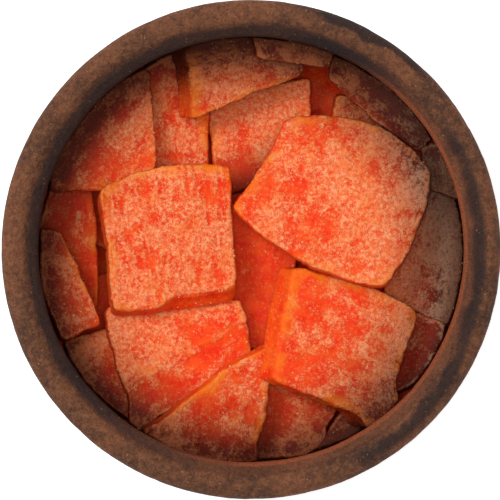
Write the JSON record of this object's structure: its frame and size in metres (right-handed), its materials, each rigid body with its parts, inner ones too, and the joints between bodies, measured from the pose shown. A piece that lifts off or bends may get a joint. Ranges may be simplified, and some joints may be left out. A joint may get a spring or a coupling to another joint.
{
  "type": "bowl of diced papaya",
  "caption": "Small round bowl of dark fired clay with a rolled rim, filled with sugared squares of diced candied papaya lying loosely over one another.",
  "frame": {"origin": "middle of the bowl's foot, on the surface it stands on", "axes": "+Z up through the bowl's mouth, the bowl's turning axis; +Y away from the front, so that seen from above +X is right and +Y is up"},
  "size_m": [0.1, 0.1, 0.0515],
  "materials": {
    "clay": "unglazed dark brown fired clay, mottled with near-black smoke marks",
    "papaya": "soft translucent red-orange candied fruit under a patchy crust of fine sugar"
  },
  "bodies": {
    "root": {"clay_bowl": "clay", "papaya_below": "papaya", "papaya_deep_centre": "papaya", "papaya_deep_left": "papaya", "papaya_deep_right": "papaya", "papaya_near_left_wall": "papaya", "papaya_near_right_wall": "papaya", "papaya_far_left_strip": "papaya", "papaya_far_centre": "papaya", "papaya_far_right_inner": "papaya", "papaya_near_centre": "papaya", "papaya_right": "papaya", "papaya_far_left": "papaya", "papaya_left_wall": "papaya", "papaya_far_right_wall": "papaya", "papaya_near_left": "papaya", "papaya_far_top": "papaya", "papaya_near": "papaya", "papaya_far_wall": "papaya", "papaya_right_rim": "papaya", "papaya_near_right": "papaya", "papaya_left": "papaya", "papaya_far_right": "papaya"}
  },
  "joints": []
}
